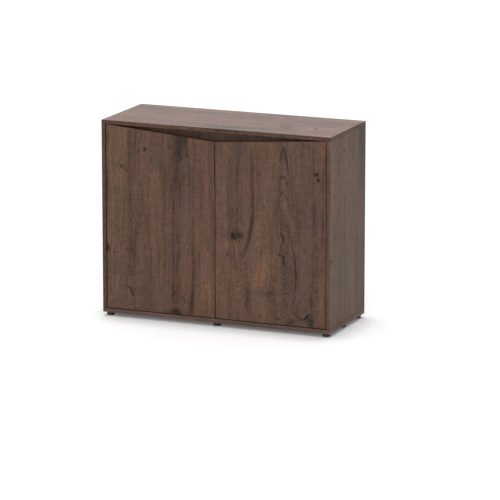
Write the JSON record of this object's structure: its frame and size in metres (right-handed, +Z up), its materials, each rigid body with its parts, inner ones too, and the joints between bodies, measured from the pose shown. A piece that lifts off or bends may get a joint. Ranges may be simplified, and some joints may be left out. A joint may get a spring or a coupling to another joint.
{
  "type": "aquarium cabinet",
  "caption": "Free-standing board cabinet that carries an aquarium, with inset hinged doors under a V-shaped finger gap, shelves inside, hose outlets at the back and round feet.",
  "frame": {"origin": "on the floor, under the middle of the cabinet", "axes": "+X to the right seen from the front, +Y towards the back, +Z up"},
  "size_m": [1.01, 0.394, 0.825],
  "materials": {
    "dark_oak_board": "melamine-faced board with a dark oak decor, semi-matt",
    "black_plastic": "moulded black plastic",
    "nickel_steel": "nickel-plated pressed steel",
    "zinc_fitting": "die-cast zinc",
    "beech_dowel": "bare beech",
    "catch_plastic": "moulded brown plastic",
    "bumper_rubber": "soft clear rubber"
  },
  "bodies": {
    "carcass": {"bottom_panel": "dark_oak_board", "cam_bolts": "zinc_fitting", "cam_locks": "zinc_fitting", "catch_screws": "nickel_steel", "centre_divider": "dark_oak_board", "foot_screws": "nickel_steel", "front_centre_foot": "black_plastic", "front_left_foot": "black_plastic", "front_rail": "dark_oak_board", "front_right_foot": "black_plastic", "hinge_clamp_screws": "nickel_steel", "hinge_plate_screws": "nickel_steel", "left_back_panel": "dark_oak_board", "left_hose_grommet": "black_plastic", "left_lower_hinge_arm": "nickel_steel", "left_lower_hinge_plate": "nickel_steel", "left_magnetic_catch": "catch_plastic", "left_shelf": "dark_oak_board", "left_side_panel": "dark_oak_board", "left_upper_hinge_arm": "nickel_steel", "left_upper_hinge_plate": "nickel_steel", "middle_centre_foot": "black_plastic", "middle_left_foot": "black_plastic", "middle_right_foot": "black_plastic", "rear_centre_foot": "black_plastic", "rear_left_foot": "black_plastic", "rear_right_foot": "black_plastic", "right_back_panel": "dark_oak_board", "right_hose_grommet": "black_plastic", "right_lower_hinge_arm": "nickel_steel", "right_lower_hinge_plate": "nickel_steel", "right_magnetic_catch": "catch_plastic", "right_shelf": "dark_oak_board", "right_side_panel": "dark_oak_board", "right_upper_hinge_arm": "nickel_steel", "right_upper_hinge_plate": "nickel_steel", "shelf_pins": "nickel_steel", "top_panel": "dark_oak_board", "wooden_dowels": "beech_dowel"},
    "left_door": {"left_cup_screws": "nickel_steel", "left_door": "dark_oak_board", "left_door_bumpers": "bumper_rubber", "left_lower_hinge_cup": "nickel_steel", "left_lower_hinge_pin": "nickel_steel", "left_strike_plate": "nickel_steel", "left_strike_screws": "nickel_steel", "left_upper_hinge_cup": "nickel_steel", "left_upper_hinge_pin": "nickel_steel"},
    "right_door": {"right_cup_screws": "nickel_steel", "right_door": "dark_oak_board", "right_door_bumpers": "bumper_rubber", "right_lower_hinge_cup": "nickel_steel", "right_lower_hinge_pin": "nickel_steel", "right_strike_plate": "nickel_steel", "right_strike_screws": "nickel_steel", "right_upper_hinge_cup": "nickel_steel", "right_upper_hinge_pin": "nickel_steel"}
  },
  "joints": [
    {"name": "left_door_hinge", "type": "hinge", "parent": "carcass", "child": "left_door", "pos_m": [-0.4705, -0.1865, 0.4], "axis": [0, 0, -1], "range_deg": [0, 110]},
    {"name": "right_door_hinge", "type": "hinge", "parent": "carcass", "child": "right_door", "pos_m": [0.4705, -0.1865, 0.4], "axis": [0, 0, 1], "range_deg": [0, 110]}
  ]
}
